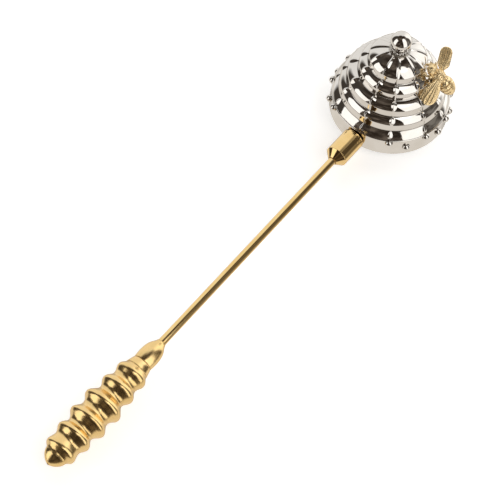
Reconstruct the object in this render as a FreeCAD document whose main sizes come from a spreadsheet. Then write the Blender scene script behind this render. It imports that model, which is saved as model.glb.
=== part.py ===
import FreeCAD, Part
import math
import os

V = FreeCAD.Vector
doc = FreeCAD.newDocument("beehive_snuffer")

# ---------------------------------------------------------------------------
# Driving dimensions, millimetres.  Z is the axis of the hive and z = 0 is the
# plane of its mouth.  The handle runs out along +X.
# ---------------------------------------------------------------------------
sheet = doc.addObject("Spreadsheet::Sheet", "Dims")
DIMS = [
    # hive foot and rim band
    ("mouth_radius", 21.4), ("foot_radius", 22.6), ("band_bore_radius", 22.62),
    ("band_bottom_radius", 24.0), ("band_top_radius", 23.65), ("band_height", 8.0),
    ("band_edge_round", 0.3),
    # tiers of the hive: radius and height of each crease, skirt and shoulder
    ("tier_base_radius", 23.3),
    ("crease_four_radius", 21.15), ("crease_four_height", 11.4),
    ("skirt_four_radius", 20.95), ("skirt_four_height", 14.4),
    ("crease_three_radius", 18.65), ("crease_three_height", 17.2),
    ("skirt_three_radius", 18.4), ("skirt_three_height", 20.2),
    ("crease_two_radius", 14.75), ("crease_two_height", 22.6),
    ("skirt_two_radius", 14.5), ("skirt_two_height", 25.7),
    ("crease_one_radius", 11.45), ("crease_one_height", 28.4),
    ("skirt_one_radius", 11.2), ("skirt_one_height", 31.1),
    ("crown_radius", 3.9), ("crown_height", 35.3),
    ("crown_inner_height", 33.9), ("finial_hole_radius", 1.55),
    # ribs
    ("rib_width", 1.5), ("rib_proud", 0.45),
    # beads on the band
    ("stud_radius", 1.65), ("stud_stand", 0.1),
    ("stud_upper_height", 6.7), ("stud_lower_height", 4.0),
    # finial
    ("ball_radius", 4.1), ("ball_height", 40.1), ("ball_neck_radius", 2.3),
    ("finial_shank_radius", 1.7), ("finial_stud_radius", 1.5), ("finial_stud_end", 30.6),
    ("collar_radius", 3.15), ("collar_thickness", 1.0),
    ("washer_thickness", 0.5), ("finial_washer_radius", 3.4),
    ("finial_nut_across_flats", 5.5), ("finial_nut_thickness", 2.2),
    # bee
    ("bee_azimuth", 105.5), ("thorax_reach", 16.9), ("thorax_height", 27.8), ("thorax_radius", 2.8),
    ("bee_stud_radius", 0.8), ("bee_stud_height", 24.0), ("bee_hole_radius", 0.85),
    ("bee_washer_radius", 1.6), ("bee_nut_across_flats", 3.2), ("bee_nut_thickness", 1.3),
    ("wing_length", 11.3), ("wing_width", 6.9), ("wing_thickness", 0.7),
    ("upper_wing_length", 9.6), ("upper_wing_width", 5.0),
    # handle, all on one axis parallel to X
    ("handle_height", 3.3),
    ("ferrule_radius", 4.57), ("ferrule_start", 24.02), ("ferrule_corner", 35.8),
    ("ferrule_end", 38.4), ("ferrule_nose_radius", 1.95), ("spigot_radius", 2.2), ("spigot_start", 22.62),
    ("screw_radius", 1.5), ("screw_head_radius", 2.5), ("screw_head_face", 21.5), ("screw_end", 30.0),
    ("rod_radius", 1.5875), ("rod_bore_radius", 1.61), ("rod_start", 32.4), ("rod_end", 170.0),
    ("neck_start", 141.2), ("neck_radius", 4.02), ("grip_start", 152.0), ("grip_end", 201.4),
]
for i, (alias, value) in enumerate(DIMS):
    sheet.set("A%d" % (i + 1), alias.replace("_", " "))
    sheet.set("B%d" % (i + 1), "%r" % value)
    sheet.setAlias("B%d" % (i + 1), alias)
doc.recompute()


def dim(alias):
    return float(sheet.get(alias))


D = dict((a, dim(a)) for a, _ in DIMS)


# ---------------------------------------------------------------------------
# Helpers
# ---------------------------------------------------------------------------
def plane(body, role):
    for f in body.Origin.OriginFeatures:
        if f.Role == role:
            return f
    raise RuntimeError(role)


def new_body(label):
    b = doc.addObject("PartDesign::Body", label)
    b.Label = label
    return b


def new_sketch(body, name, role, offset=None):
    s = body.newObject("Sketcher::SketchObject", name)
    s.AttachmentSupport = [(plane(body, role), "")]
    s.MapMode = "FlatFace"
    if offset is not None:
        s.AttachmentOffset = offset
    return s


def circle_through(x1, y1, x2, y2, x3, y3):
    d = 2.0 * (x1 * (y2 - y3) + x2 * (y3 - y1) + x3 * (y1 - y2))
    s1, s2, s3 = x1 * x1 + y1 * y1, x2 * x2 + y2 * y2, x3 * x3 + y3 * y3
    cx = (s1 * (y2 - y3) + s2 * (y3 - y1) + s3 * (y1 - y2)) / d
    cy = (s1 * (x3 - x2) + s2 * (x1 - x3) + s3 * (x2 - x1)) / d
    return V(cx, cy, 0), math.hypot(x1 - cx, y1 - cy)


def outline(sketch, pts, binds=None):
    """Closed outline.  pts holds (x, y) corners, or (x, y, mx, my) where the edge that ends at the
    corner is an arc through (mx, my).  binds maps a corner number to the sheet expressions of its x and y."""
    binds = binds or {}
    n = len(pts)
    ids = []
    for i in range(n):
        a = pts[i - 1]
        b = pts[i]
        p, q = V(a[0], a[1], 0), V(b[0], b[1], 0)
        if len(b) == 4:
            c, rad = circle_through(a[0], a[1], b[2], b[3], b[0], b[1])
            a0 = math.atan2(p.y - c.y, p.x - c.x)
            am = math.atan2(b[3] - c.y, b[2] - c.x)
            a1 = math.atan2(q.y - c.y, q.x - c.x)
            turn = 2 * math.pi
            first = ((am - a0) % turn) < ((a1 - a0) % turn)
            lo, hi = (a0, a0 + (a1 - a0) % turn) if first else (a1, a1 + (a0 - a1) % turn)
            g = sketch.addGeometry(Part.ArcOfCircle(Part.Circle(c, V(0, 0, 1), rad), lo, hi), False)
            ids.append((g, 1 if first else 2, 2 if first else 1, rad))
        else:
            g = sketch.addGeometry(Part.LineSegment(p, q), False)
            ids.append((g, 1, 2, None))
    import Sketcher
    for i in range(n):
        g, s0, s1, rad = ids[i]
        gn = ids[(i + 1) % n]
        sketch.addConstraint(Sketcher.Constraint("Coincident", g, s1, gn[0], gn[1]))
    for i in range(n):
        g, s0, s1, rad = ids[i]
        x, y = pts[i][0], pts[i][1]
        for k, (kind, val) in enumerate((("DistanceX", x), ("DistanceY", y))):
            expr = binds.get(i, (None, None))[k]
            if abs(val) < 1e-9 and expr is None:
                c = sketch.addConstraint(Sketcher.Constraint("PointOnObject", g, s1, -2 if k == 0 else -1))
            else:
                c = sketch.addConstraint(Sketcher.Constraint(kind, -1, 1, g, s1, val))
                if expr:
                    nm = "c%d_%s" % (i, "xy"[k])
                    sketch.renameConstraint(c, nm)
                    sketch.setExpression("Constraints." + nm, expr)
        if rad:
            sketch.addConstraint(Sketcher.Constraint("Radius", g, rad))


def revolve(body, sketch, name, axis, cut=False):
    f = body.newObject("PartDesign::Groove" if cut else "PartDesign::Revolution", name)
    f.Profile = sketch
    f.ReferenceAxis = (sketch, [axis])
    f.Angle = 360.0
    body.Tip = f
    return f


def circle_sketch(body, name, role, cx, cy, radius, expr_r, expr_x=None, expr_y=None, offset=None):
    import Sketcher
    s = new_sketch(body, name, role, offset)
    g = s.addGeometry(Part.Circle(V(cx, cy, 0), V(0, 0, 1), radius), False)
    c = s.addConstraint(Sketcher.Constraint("Radius", g, radius))
    s.renameConstraint(c, "hole_size")
    s.setExpression("Constraints.hole_size", expr_r)
    for k, (val, ex) in enumerate(((cx, expr_x), (cy, expr_y))):
        if abs(val) < 1e-9:
            s.addConstraint(Sketcher.Constraint("PointOnObject", g, 3, -2 if k == 0 else -1))
        else:
            kind = "DistanceX" if k == 0 else "DistanceY"
            c = s.addConstraint(Sketcher.Constraint(kind, -1, 1, g, 3, val))
            if ex:
                s.renameConstraint(c, "centre_" + "xy"[k])
                s.setExpression("Constraints.centre_" + "xy"[k], ex)
    return s


def shoulder(r0, z0, e0, r1, z1, e1, n=4):
    """Points on a rounded shoulder between two corners.  The surface's normal turns from e0 to e1 degrees
    above horizontal; the turn is spread so that the curve meets both corners."""
    def run(p, q):
        pts, r, z = [(0.0, 0.0)], 0.0, 0.0
        steps = 240
        for k in range(steps):
            u = (k + 0.5) / steps
            w = u ** p
            e = math.radians(e0 + (e1 - e0) * w)
            r += math.sin(e) / steps
            z += math.cos(e) / steps
            pts.append((r, z))
        return pts
    want = (r0 - r1) / (z1 - z0)
    lo, hi = 0.05, 12.0
    for _ in range(60):
        p = math.sqrt(lo * hi)
        pts = run(p, 0)
        got = pts[-1][0] / pts[-1][1]
        if got > want:
            lo = p
        else:
            hi = p
    sc = (z1 - z0) / pts[-1][1]
    out = []
    for k in range(1, 2 * n + 1):
        j = int(round(240.0 * k / (2 * n)))
        out.append((r0 - pts[j][0] * sc, z0 + pts[j][1] * sc))
    out[-1] = (r1, z1)
    return out


def arcs(points, n):
    """Pairs of points to arc corners (x, y, mid x, mid y)."""
    return [(points[2 * k + 1][0], points[2 * k + 1][1], points[2 * k][0], points[2 * k][1]) for k in range(n)]


# ---------------------------------------------------------------------------
# 1  rim_band: plain ring round the foot of the hive
# ---------------------------------------------------------------------------
band = new_body("rim_band")
s = new_sketch(band, "band_profile", "XZ_Plane")
e = D["band_edge_round"]
q = e * (1 - math.sqrt(0.5))
outline(s, [
    (D["band_bore_radius"], 0.0), (D["band_bottom_radius"], 0.0),
    (D["band_top_radius"], D["band_height"] - e),
    (D["band_top_radius"] - e, D["band_height"], D["band_top_radius"] - q, D["band_height"] - q),
    (D["band_bore_radius"], D["band_height"]),
], {0: ("Dims.band_bore_radius", None), 1: ("Dims.band_bottom_radius", None),
    2: ("Dims.band_top_radius", "Dims.band_height - Dims.band_edge_round"),
    3: ("Dims.band_top_radius - Dims.band_edge_round", "Dims.band_height"),
    4: ("Dims.band_bore_radius", "Dims.band_height")})
revolve(band, s, "band_ring", "V_Axis")
doc.recompute()
# clear hole for the ferrule's spigot, on the +X side
s = circle_sketch(band, "band_hole", "YZ_Plane", 0.0, D["handle_height"], D["spigot_radius"] + 0.02,
                  "Dims.spigot_radius + 0.02", None, "Dims.handle_height")
p = band.newObject("PartDesign::Pocket", "band_hole_cut")
p.Profile = s
p.Type = "Length"
p.Length = 40.0
p.Reversed = True
band.Tip = p
doc.recompute()
v_ring = band.getObject("band_ring").Shape.Volume if hasattr(band, "getObject") and band.getObject("band_ring") else 0
if v_ring and abs(v_ring - p.Shape.Volume) < 5:
    p.Reversed = False
    doc.recompute()

# ---------------------------------------------------------------------------
# 2  hive_shell: stepped skep with ribs, one thin casting
# ---------------------------------------------------------------------------
shell = new_body("hive_shell")
TIERS = [
    # start r, z, e0  ->  end r, z, e1
    ("tier_base_radius", "band_height", 20.0, "crease_four_radius", "crease_four_height", 46.0),
    ("skirt_four_radius", "skirt_four_height", 8.0, "crease_three_radius", "crease_three_height", 66.0),
    ("skirt_three_radius", "skirt_three_height", 8.0, "crease_two_radius", "crease_two_height", 80.0),
    ("skirt_two_radius", "skirt_two_height", 8.0, "crease_one_radius", "crease_one_height", 76.0),
    ("skirt_one_radius", "skirt_one_height", 8.0, "crown_radius", "crown_height", 82.0),
]
outer = [(0.0, 0.0), (D["foot_radius"], 0.0), (D["foot_radius"], D["band_height"]),
         (D["tier_base_radius"], D["band_height"])]
binds = {1: ("Dims.foot_radius", None), 2: ("Dims.foot_radius", "Dims.band_height"), 3: ("Dims.tier_base_radius", "Dims.band_height")}
rib_line = [(D["tier_base_radius"], D["band_height"])]
for k, (ra, za, e0, rb, zb, e1) in enumerate(TIERS):
    if k > 0:
        outer.append((D[ra], D[za]))
        binds[len(outer) - 1] = ("Dims." + ra, "Dims." + za)
    pts = shoulder(D[ra], D[za], e0, D[rb], D[zb], e1, 2)
    for c in arcs(pts, 2):
        outer.append(c)
    binds[len(outer) - 1] = ("Dims." + rb, "Dims." + zb)
outer.append((0.0, D["crown_height"]))
binds[len(outer) - 1] = (None, "Dims.crown_height")
s = new_sketch(shell, "hive_outside", "XZ_Plane")
outline(s, outer, binds)
revolve(shell, s, "hive_solid", "V_Axis")
doc.recompute()

# ribs: fins that follow the tiers, bulging over each shoulder and flush at each crease
RIBS = [-68.0, -35.0, 5.0, 34.0, 71.0, 98.0, 131.0, 163.5, 196.0, 228.5, 260.5]
rp = D["rib_proud"]
fin = [(8.0, D["band_height"] + 0.6)]
fin.append((D["tier_base_radius"] - 0.25, D["band_height"] + 0.6))
for k, (ra, za, e0, rb, zb, e1) in enumerate(TIERS):
    if k > 0:
        fin.append((D[ra] + 0.12, D[za] - 0.6))
    pts = shoulder(D[ra], D[za], e0, D[rb], D[zb], e1, 1)
    mr, mz = pts[0]
    er = math.radians(0.5 * (e0 + e1))
    fin.append((D[rb] + 0.1, D[zb], mr + rp * math.cos(er), mz + rp * math.sin(er)))
fin.append((D["crown_radius"] - 0.4, D["crown_height"] - 0.6))
fin.append((8.0 - 5.0, D["crown_height"] - 2.0))
for i, az in enumerate(RIBS):
    off = FreeCAD.Placement(V(0, 0, 0), FreeCAD.Rotation(V(0, 1, 0), az))
    s = new_sketch(shell, "rib_outline_%d" % (i + 1), "XZ_Plane", off)
    outline(s, fin, {0: (None, "Dims.band_height + 0.6"), 1: ("Dims.tier_base_radius - 0.25", "Dims.band_height + 0.6")})
    pad = shell.newObject("PartDesign::Pad", "rib_%d" % (i + 1))
    pad.Profile = s
    pad.Midplane = True
    pad.setExpression("Length", "Dims.rib_width")
    shell.Tip = pad
doc.recompute()

# inside of the hive
inner = [(0.0, -1.0), (D["mouth_radius"], -1.0), (D["mouth_radius"], 9.0),
         (19.7, 11.8), (19.55, 14.0), (17.2, 16.7), (17.05, 19.7), (13.45, 21.7), (13.3, 25.6),
         (10.15, 27.6), (10.0, 30.6), (5.4, 33.7), (4.4, D["crown_inner_height"]), (0.0, D["crown_inner_height"])]
s = new_sketch(shell, "hive_inside", "XZ_Plane")
outline(s, inner, {1: ("Dims.mouth_radius", None), 2: ("Dims.mouth_radius", None),
                   12: (None, "Dims.crown_inner_height"), 13: (None, "Dims.crown_inner_height")})
revolve(shell, s, "hive_hollow", "V_Axis", cut=True)
doc.recompute()
# hole in the crown for the finial's stud
s = circle_sketch(shell, "crown_hole", "XY_Plane", 0.0, 0.0, D["finial_hole_radius"], "Dims.finial_hole_radius",
                  offset=FreeCAD.Placement(V(0, 0, 40), FreeCAD.Rotation()))
p = shell.newObject("PartDesign::Pocket", "crown_hole_cut")
p.Profile = s
p.Type = "Length"
p.Length = 12.0
shell.Tip = p
doc.recompute()
# countersunk hole for the ferrule's screw
s = new_sketch(shell, "screw_seat", "XZ_Plane")
hz = D["handle_height"]
hr, sr = D["screw_head_radius"] + 0.03, D["screw_radius"] + 0.05
import Sketcher
ax = s.addGeometry(Part.LineSegment(V(18, hz, 0), V(26, hz, 0)), True)
seat = [(20.5, hz), (24.5, hz), (24.5, hz + sr), (D["screw_head_face"] + 1.0, hz + sr),
        (D["screw_head_face"], hz + hr), (20.5, hz + hr)]
ids = []
for i in range(len(seat)):
    a, b = seat[i - 1], seat[i]
    ids.append(s.addGeometry(Part.LineSegment(V(a[0], a[1], 0), V(b[0], b[1], 0)), False))
for i in range(len(seat)):
    s.addConstraint(Sketcher.Constraint("Coincident", ids[i], 2, ids[(i + 1) % len(seat)], 1))
    s.addConstraint(Sketcher.Constraint("DistanceX", -1, 1, ids[i], 2, seat[i][0]))
    s.addConstraint(Sketcher.Constraint("DistanceY", -1, 1, ids[i], 2, seat[i][1]))
s.addConstraint(Sketcher.Constraint("DistanceX", -1, 1, ax, 1, 18.0))
s.addConstraint(Sketcher.Constraint("DistanceX", -1, 1, ax, 2, 26.0))
c = s.addConstraint(Sketcher.Constraint("DistanceY", -1, 1, ax, 1, hz))
s.renameConstraint(c, "axis_height")
s.setExpression("Constraints.axis_height", "Dims.handle_height")
s.addConstraint(Sketcher.Constraint("Horizontal", ax))
revolve(shell, s, "screw_seat_cut", "Axis0", cut=True)
doc.recompute()
# hole for the bee's stud
off = FreeCAD.Placement(V(0, 0, 0), FreeCAD.Rotation(V(0, 1, 0), D["bee_azimuth"] - 90.0))
s = circle_sketch(shell, "bee_hole", "XZ_Plane", 0.0, D["bee_stud_height"], D["bee_hole_radius"],
                  "Dims.bee_hole_radius", None, "Dims.bee_stud_height", offset=off)
before = shell.Tip.Shape.Volume
p = shell.newObject("PartDesign::Pocket", "bee_hole_cut")
p.Profile = s
p.Type = "Length"
p.Length = 20.0
shell.Tip = p
doc.recompute()
pocket_side = p.Shape.Volume
# the hole must open on the bee's side of the hive, not on the far side
a = math.radians(D["bee_azimuth"])
probe = V(13.9 * math.cos(a), 13.9 * math.sin(a), D["bee_stud_height"])
if p.Shape.isInside(probe, 1e-4, False):
    p.Reversed = True
    doc.recompute()
if p.Shape.isInside(probe, 1e-4, False):
    raise RuntimeError("bee hole missed the wall")

# ---------------------------------------------------------------------------
# 3, 4  beads on the rim band: domes with backs that fit the band
# ---------------------------------------------------------------------------
UPPER = [-68.0, -35.0, 34.0, 71.0, 101.0, 131.0, 163.5, 196.0, 228.5, 260.5]
LOWER = [-50.5, 51.0, 88.0, 116.0, 147.0, 180.0, 212.0, 245.0, 276.0]


def studs(label, angles, height_alias):
    z = D[height_alias]
    rb = D["band_bottom_radius"] + (D["band_top_radius"] - D["band_bottom_radius"]) * z / (D["band_height"] - e)
    balls = []
    for i, az in enumerate(angles):
        b = doc.addObject("Part::Sphere", "%s_bead_%d" % (label, i + 1))
        b.setExpression("Radius", "Dims.stud_radius")
        r = rb + D["stud_stand"]
        t = math.radians(az)
        out = V(math.cos(t), math.sin(t), 0)
        b.Placement = FreeCAD.Placement(V(r * out.x, r * out.y, z), FreeCAD.Rotation(V(0, 0, 1), out))
        balls.append(b)
    comp = doc.addObject("Part::Compound", label + "_balls")
    comp.Links = balls
    core = doc.addObject("Part::Cone", label + "_seat")
    core.setExpression("Radius1", "Dims.band_bottom_radius + 0.015")
    core.setExpression("Radius2", "Dims.band_top_radius + 0.015 - (Dims.band_bottom_radius - Dims.band_top_radius) * %r"
                       % (3.3 / 7.7))
    core.Height = 11.0
    cut = doc.addObject("Part::Cut", label)
    cut.Base = comp
    cut.Tool = core
    cut.Label = label
    return cut


studs_upper = studs("rim_studs_upper", UPPER, "stud_upper_height")
studs_lower = studs("rim_studs_lower", LOWER, "stud_lower_height")
doc.recompute()

# ---------------------------------------------------------------------------
# 5, 6  finial ball with neck and stud, and the collar under it
# ---------------------------------------------------------------------------
ball = new_body("finial_ball")
R, bz, nr = D["ball_radius"], D["ball_height"], D["ball_neck_radius"]
zt = bz - math.sqrt(R * R - nr * nr)
ct = D["crown_height"] + D["collar_thickness"]
s = new_sketch(ball, "ball_profile", "XZ_Plane")
outline(s, [
    (0.0, D["finial_stud_end"]), (D["finial_stud_radius"] - 0.3, D["finial_stud_end"]),
    (D["finial_stud_radius"], D["finial_stud_end"] + 0.3), (D["finial_stud_radius"], D["crown_height"]),
    (D["finial_shank_radius"], D["crown_height"]), (D["finial_shank_radius"], ct), (nr, ct), (nr, zt),
    (0.0, bz + R, R, bz),
], {0: (None, "Dims.finial_stud_end"), 3: ("Dims.finial_stud_radius", "Dims.crown_height"),
    4: ("Dims.finial_shank_radius", "Dims.crown_height"), 6: ("Dims.ball_neck_radius", None),
    8: (None, "Dims.ball_height + Dims.ball_radius")})
revolve(ball, s, "ball_turning", "V_Axis")

collar = new_body("finial_collar")
s = new_sketch(collar, "collar_profile", "XZ_Plane")
ci, co, ch = D["finial_shank_radius"] + 0.02, D["collar_radius"], D["crown_height"]
outline(s, [
    (ci, ch), (co - 0.35, ch), (co - 0.35, ct, co + 0.12, 0.5 * (ch + ct)), (ci, ct),
], {0: ("Dims.finial_shank_radius + 0.02", "Dims.crown_height"), 1: ("Dims.collar_radius - 0.35", "Dims.crown_height"),
    2: ("Dims.collar_radius - 0.35", "Dims.crown_height + Dims.collar_thickness"),
    3: ("Dims.finial_shank_radius + 0.02", "Dims.crown_height + Dims.collar_thickness")})
revolve(collar, s, "collar_ring", "V_Axis")
doc.recompute()


def ring_body(label, r_in, r_out, thick, e_in, e_out, e_thick):
    b = new_body(label)
    s = new_sketch(b, label + "_profile", "XZ_Plane")
    outline(s, [(r_in, 0.0), (r_out, 0.0), (r_out, thick), (r_in, thick)],
            {0: (e_in, None), 1: (e_out, None), 2: (e_out, e_thick), 3: (e_in, e_thick)})
    revolve(b, s, label + "_ring", "V_Axis")
    return b


def nut_body(label, across, thick, bore, e_across, e_thick, e_bore):
    """Hexagon nut: a prism with its corners bevelled, and a bore."""
    b = new_body(label)
    s = new_sketch(b, label + "_hexagon", "XY_Plane")
    rad = across / math.sqrt(3.0)
    g = []
    pts = [V(rad * math.cos(math.radians(60 * k)), rad * math.sin(math.radians(60 * k)), 0) for k in range(6)]
    circ = s.addGeometry(Part.Circle(V(0, 0, 0), V(0, 0, 1), rad), True)
    s.addConstraint(Sketcher.Constraint("Coincident", circ, 3, -1, 1))
    c = s.addConstraint(Sketcher.Constraint("Radius", circ, rad))
    s.renameConstraint(c, "corner_radius")
    s.setExpression("Constraints.corner_radius", "%s / sqrt(3)" % e_across)
    for k in range(6):
        g.append(s.addGeometry(Part.LineSegment(pts[k], pts[(k + 1) % 6]), False))
    for k in range(6):
        s.addConstraint(Sketcher.Constraint("Coincident", g[k], 2, g[(k + 1) % 6], 1))
        s.addConstraint(Sketcher.Constraint("PointOnObject", g[k], 1, circ))
        if k:
            s.addConstraint(Sketcher.Constraint("Equal", g[0], g[k]))
    s.addConstraint(Sketcher.Constraint("PointOnObject", g[0], 1, -1))
    pad = b.newObject("PartDesign::Pad", label + "_prism")
    pad.Profile = s
    pad.setExpression("Length", e_thick)
    b.Tip = pad
    doc.recompute()
    s = new_sketch(b, label + "_bevel", "XZ_Plane")
    k = 0.35 * (rad - across / 2.0) + 0.02
    outline(s, [(across / 2.0, thick), (rad + 1.0, thick - (rad + 1.0 - across / 2.0) * 0.577), (rad + 1.0, thick + 0.5),
                (across / 2.0, thick + 0.5)])
    revolve(b, s, label + "_bevel_cut", "V_Axis", cut=True)
    doc.recompute()
    s = circle_sketch(b, label + "_bore", "XY_Plane", 0.0, 0.0, bore, e_bore)
    p = b.newObject("PartDesign::Pocket", label + "_bore_cut")
    p.Profile = s
    p.Type = "ThroughAll"
    p.Midplane = True
    b.Tip = p
    doc.recompute()
    return b


# finial washer and nut, hanging under the crown
fwasher = ring_body("finial_washer", D["finial_stud_radius"] + 0.05, D["finial_washer_radius"], D["washer_thickness"],
                    "Dims.finial_stud_radius + 0.05", "Dims.finial_washer_radius", "Dims.washer_thickness")
fwasher.Placement = FreeCAD.Placement(V(0, 0, D["crown_inner_height"] - D["washer_thickness"]), FreeCAD.Rotation())
fnut = nut_body("finial_nut", D["finial_nut_across_flats"], D["finial_nut_thickness"], D["finial_stud_radius"] + 0.01,
                "Dims.finial_nut_across_flats", "Dims.finial_nut_thickness", "Dims.finial_stud_radius + 0.01")
fnut.Placement = FreeCAD.Placement(V(0, 0, D["crown_inner_height"] - D["washer_thickness"]),
                                   FreeCAD.Rotation(V(1, 0, 0), 180))
doc.recompute()

# ---------------------------------------------------------------------------
# 7-11  the bee and its fastening.  Local axes: u up the hive, w round it, n outwards.
# ---------------------------------------------------------------------------
A = math.radians(D["bee_azimuth"])
RHO = V(math.cos(A), math.sin(A), 0)
TAN = V(-math.sin(A), math.cos(A), 0)
UP = V(0, 0, 1)


def at(reach, side, height):
    return RHO * reach + TAN * side + UP * height


def frame_rotation(xd, zd):
    xd = V(xd).normalize()
    zd = V(zd)
    zd = (zd - xd * zd.dot(xd)).normalize()
    yd = zd.cross(xd)
    m = FreeCAD.Matrix(xd.x, yd.x, zd.x, 0, xd.y, yd.y, zd.y, 0, xd.z, yd.z, zd.z, 0, 0, 0, 0, 1)
    return FreeCAD.Placement(m).Rotation


def globe(name, centre, radius, pole):
    o = doc.addObject("Part::Sphere", name)
    o.Radius = radius
    o.Placement = FreeCAD.Placement(centre, FreeCAD.Rotation(V(0, 0, 1), pole))
    return o


def tapered(name, p, rp, q, rq):
    """Two globes joined by the cone that is tangent to both."""
    d = q - p
    run = d.Length
    d = V(d).normalize()
    sn = (rp - rq) / run
    cs = math.sqrt(1 - sn * sn)
    return [globe(name + "_near", p, rp, d), globe(name + "_far", q, rq, d),
            bar(name + "_flank", p + d * (rp * sn), q + d * (rq * sn), rp * cs * 0.999, rq * cs * 0.999)]


def bar(name, p, q, radius, radius2=None):
    d = q - p
    if radius2 is None:
        o = doc.addObject("Part::Cylinder", name)
        o.Radius = radius
    else:
        o = doc.addObject("Part::Cone", name)
        o.Radius1 = radius
        o.Radius2 = radius2
    o.Height = d.Length
    o.Placement = FreeCAD.Placement(p, FreeCAD.Rotation(V(0, 0, 1), d))
    return o


T = at(D["thorax_reach"], 0.0, D["thorax_height"])
HEAD = at(13.9, -0.5, 30.9)
along = V(HEAD - T).normalize()
parts = [globe("thorax", T, D["thorax_radius"], along), globe("head", HEAD, 1.95, along)]
parts[0].setExpression("Radius", "Dims.thorax_radius")
parts += tapered("abdomen", at(19.9, 0.4, 24.6), 3.05, at(21.9, 0.7, 22.0), 2.15)
parts.append(bar("waist", T, at(19.9, 0.4, 24.6), 2.1))
parts.append(bar("neck", T, HEAD, 1.5))
for i, sd in enumerate((-1, 1)):
    parts.append(globe("eye_%d" % i, HEAD + TAN * (1.35 * sd) + UP * 0.5, 0.85, TAN))
# pedestal under the thorax, and the stud that goes through the hive's wall
sh = D["bee_stud_height"]
parts.append(bar("pedestal", at(14.95, 0, sh), at(18.6, 0, sh), 1.3))
stud = bar("bee_stud", at(10.7, 0, sh), at(16.4, 0, sh), D["bee_stud_radius"])
stud.setExpression("Radius", "Dims.bee_stud_radius")
parts.append(stud)
# legs: knee points and feet, three a side (reach, side, height), feet just clear of the hive
def foot(radius, swing, height):
    t = math.radians(swing)
    return (radius * math.cos(t), radius * math.sin(t), height)


LEGS = [
    ((15.4, -1.6, 28.8), (14.3, -3.1, 29.6), foot(12.2, -12, 29.4)),
    ((16.2, -1.9, 27.2), (15.6, -3.3, 26.6), foot(15.0, -14, 26.2)),
    ((17.4, -1.8, 25.6), (17.0, -3.3, 24.6), foot(16.7, -15, 23.3)),
    ((15.4, 1.6, 28.8), (14.3, 3.1, 29.6), foot(12.2, 12, 29.4)),
    ((16.2, 1.9, 27.2), (15.6, 3.3, 26.6), foot(15.0, 14, 26.2)),
    ((17.4, 1.8, 25.6), (17.0, 3.3, 24.6), foot(16.7, 15, 23.3)),
]
for i, (p0, p1, p2) in enumerate(LEGS):
    a0, a1, a2 = at(*p0), at(*p1), at(*p2)
    parts.append(bar("leg_%d_upper" % i, a0, a1, 0.6))
    k = doc.addObject("Part::Sphere", "leg_%d_knee" % i)
    k.Radius = 0.62
    k.Placement = FreeCAD.Placement(a1, FreeCAD.Rotation())
    parts.append(k)
    parts.append(bar("leg_%d_lower" % i, a1, a2, 0.58, 0.5))
# antennae
for i, sd in enumerate((-1, 1)):
    parts.append(bar("antenna_%d" % i, HEAD + UP * 0.6, HEAD + UP * 2.2 + TAN * (2.1 * sd) + RHO * 0.5, 0.38, 0.3))
bee = doc.addObject("Part::MultiFuse", "bee_body")
bee.Shapes = parts
bee.Label = "bee_body"
doc.recompute()


def wing(label, size, root, tip, normal):
    """Oval plate, trimmed to the bee's body."""
    b = new_body(label + "_plate")
    s = new_sketch(b, label + "_oval", "XY_Plane")
    L, W = D[size + "wing_length"], D[size + "wing_width"]
    # half-outline of the wing as arcs: narrow root, broad rounded end
    k = W / 2.0
    outline(s, [
        (0.0, -0.9), (L * 0.62, -k, L * 0.30, -k * 0.86), (L, 0.0, L * 0.915, -k * 0.70),
        (L * 0.62, k, L * 0.915, k * 0.70), (0.0, 0.9, L * 0.30, k * 0.86),
    ], {1: (None, None)})
    pad = b.newObject("PartDesign::Pad", label + "_pad")
    pad.Profile = s
    pad.Midplane = True
    pad.setExpression("Length", "Dims.wing_thickness")
    b.Tip = pad
    b.Placement = FreeCAD.Placement(root, frame_rotation(tip - root, normal))
    doc.recompute()
    cut = doc.addObject("Part::Cut", label)
    cut.Base = b
    cut.Tool = bee
    cut.Label = label
    return cut


root_l = T + RHO * 0.6 + UP * 0.7 - TAN * 1.6
root_r = T + RHO * 0.3 + UP * 1.0 + TAN * 2.4
wing_l = wing("bee_wing_left", "", root_l, root_l - TAN * 8.2 - UP * 7.4 - RHO * 1.1, RHO * 0.50 - TAN * 0.60 + UP * 0.62)
wing_r = wing("bee_wing_right", "upper_", root_r, root_r + TAN * 8.3 + UP * 4.6 - RHO * 0.9, RHO * 0.25 - TAN * 0.45 + UP * 0.86)
doc.recompute()

# washer and nut on the bee's stud, against the inside of the hive's wall
flat = math.sqrt(13.3 ** 2 - D["bee_washer_radius"] ** 2) - 0.03
into = FreeCAD.Rotation(V(0, 0, 1), -RHO)
bwasher = ring_body("bee_washer", D["bee_stud_radius"] + 0.05, D["bee_washer_radius"], D["washer_thickness"],
                    "Dims.bee_stud_radius + 0.05", "Dims.bee_washer_radius", "Dims.washer_thickness")
bwasher.Placement = FreeCAD.Placement(at(flat, 0, sh), into)
bnut = nut_body("bee_nut", D["bee_nut_across_flats"], D["bee_nut_thickness"], D["bee_stud_radius"] + 0.01,
                "Dims.bee_nut_across_flats", "Dims.bee_nut_thickness", "Dims.bee_stud_radius + 0.01")
bnut.Placement = FreeCAD.Placement(at(flat - D["washer_thickness"], 0, sh), into)
doc.recompute()

# ---------------------------------------------------------------------------
# 12-16  the handle.  Each piece is turned about its own X axis and then set at the handle's height.
# ---------------------------------------------------------------------------
lift = FreeCAD.Placement(V(0, 0, D["handle_height"]), FreeCAD.Rotation())

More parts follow.
